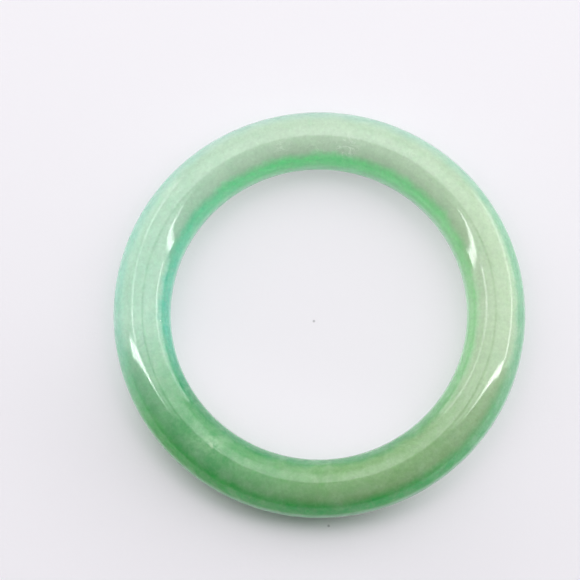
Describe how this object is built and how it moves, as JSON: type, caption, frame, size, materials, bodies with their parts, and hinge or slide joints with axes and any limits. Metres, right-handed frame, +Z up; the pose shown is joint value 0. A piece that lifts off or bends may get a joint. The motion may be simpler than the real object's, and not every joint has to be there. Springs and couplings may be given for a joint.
{
  "type": "bangle bracelet",
  "caption": "Solid stone bangle: a polished ring of translucent green jade-like stone with a round section, which slips over the hand.",
  "frame": {"origin": "on the bangle's axis, at the level of the surface that it lies flat on", "axes": "+Z up along the bangle's axis of symmetry; X and Y in the plane that it lies on"},
  "size_m": [0.0784, 0.0784, 0.0112],
  "materials": {
    "green_stone": "polished"
  },
  "bodies": {
    "root": {"stone_ring": "green_stone"}
  },
  "joints": []
}
